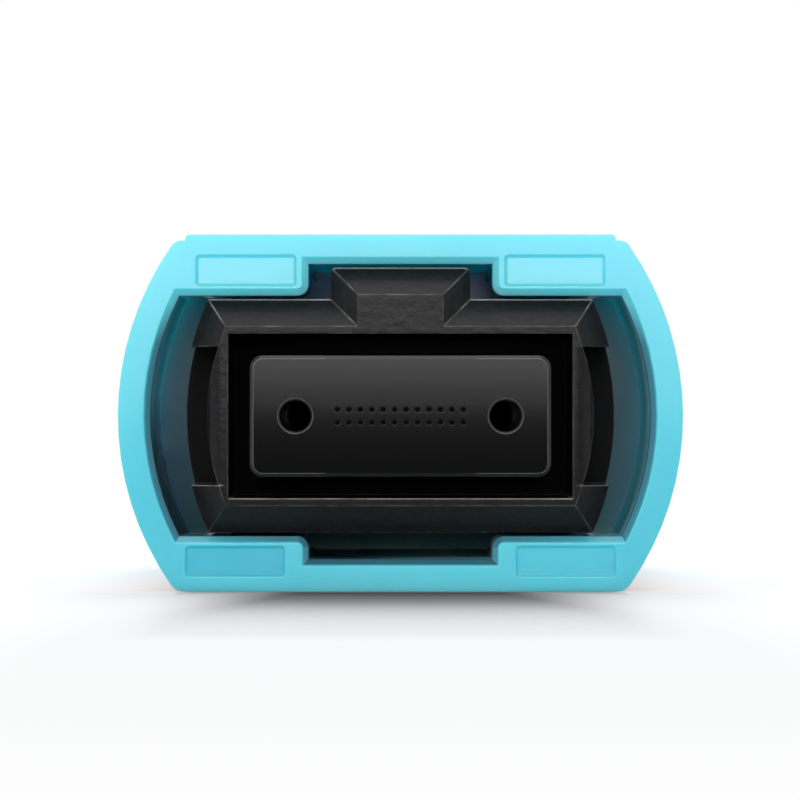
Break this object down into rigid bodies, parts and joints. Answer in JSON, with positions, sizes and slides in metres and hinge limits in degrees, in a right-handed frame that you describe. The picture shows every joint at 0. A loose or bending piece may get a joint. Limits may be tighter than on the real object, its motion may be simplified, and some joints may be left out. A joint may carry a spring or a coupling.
{
  "type": "mpo fibre connector",
  "caption": "Multi-fibre push-on connector: keyed plug body, spring-loaded rectangular ferrule with guide holes, sliding release sleeve and a crimp post at the rear.",
  "frame": {"origin": "centre of the ferrule's end face", "axes": "-Y out of the ferrule's end face towards the mating connector, +Y towards the cable, +Z to the key side, +X to the right seen from the front"},
  "size_m": [0.0124, 0.0311, 0.0078],
  "materials": {
    "sleeve": "satin aqua moulding",
    "housing": "fine-textured black moulding",
    "ferrule": "filled resin with a polished end face",
    "boot": "soft black",
    "ribbon": "coated fibre ribbon with bare glass ends",
    "keeper": "plain black moulding",
    "rear_body": "fine-textured black moulding",
    "crimp_ring": "nickel-plated, satin",
    "spring": "drawn wire"
  },
  "bodies": {
    "housing": {"inner_housing": "housing", "rear_body": "rear_body", "crimp_ring": "crimp_ring", "ferrule_spring": "spring", "coupling_spring_left": "spring", "coupling_spring_right": "spring"},
    "sleeve": {"coupling_sleeve": "sleeve"},
    "ferrule": {"mt_ferrule": "ferrule", "ferrule_boot": "boot", "pin_keeper": "keeper", "upper_fibre_ribbon": "ribbon", "lower_fibre_ribbon": "ribbon"}
  },
  "joints": [
    {"name": "sleeve_slide", "type": "slide", "parent": "housing", "child": "sleeve", "axis": [0, 1, 0], "range_m": [0, 0.0022], "stiffness_N_per_m": 250, "springref_m": -0.003, "deforming": ["coupling_spring_left", "coupling_spring_right"]},
    {"name": "ferrule_slide", "type": "slide", "parent": "housing", "child": "ferrule", "axis": [0, 1, 0], "range_m": [0, 0.0006], "stiffness_N_per_m": 1500, "springref_m": -0.0045, "deforming": ["ferrule_spring"]}
  ]
}
